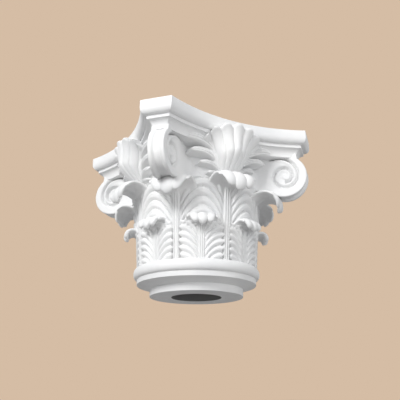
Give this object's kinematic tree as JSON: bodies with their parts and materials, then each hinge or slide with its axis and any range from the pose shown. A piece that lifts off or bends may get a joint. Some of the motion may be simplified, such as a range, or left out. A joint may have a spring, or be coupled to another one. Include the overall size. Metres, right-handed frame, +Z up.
{
  "type": "corinthian capital",
  "caption": "Round-footed column capital with two tiers of leaves, corner volutes, face shells and a hollow-sided abacus.",
  "frame": {"origin": "on the axis of the capital, at the underside of its spigot", "axes": "+Z up along the axis to the abacus; -Y is out of the front face, through the middle of a shell"},
  "size_m": [0.3188, 0.3188, 0.268],
  "materials": {
    "moulded_white": "matte white primed moulding"
  },
  "bodies": {
    "root": {"capital": "moulded_white"}
  },
  "joints": []
}
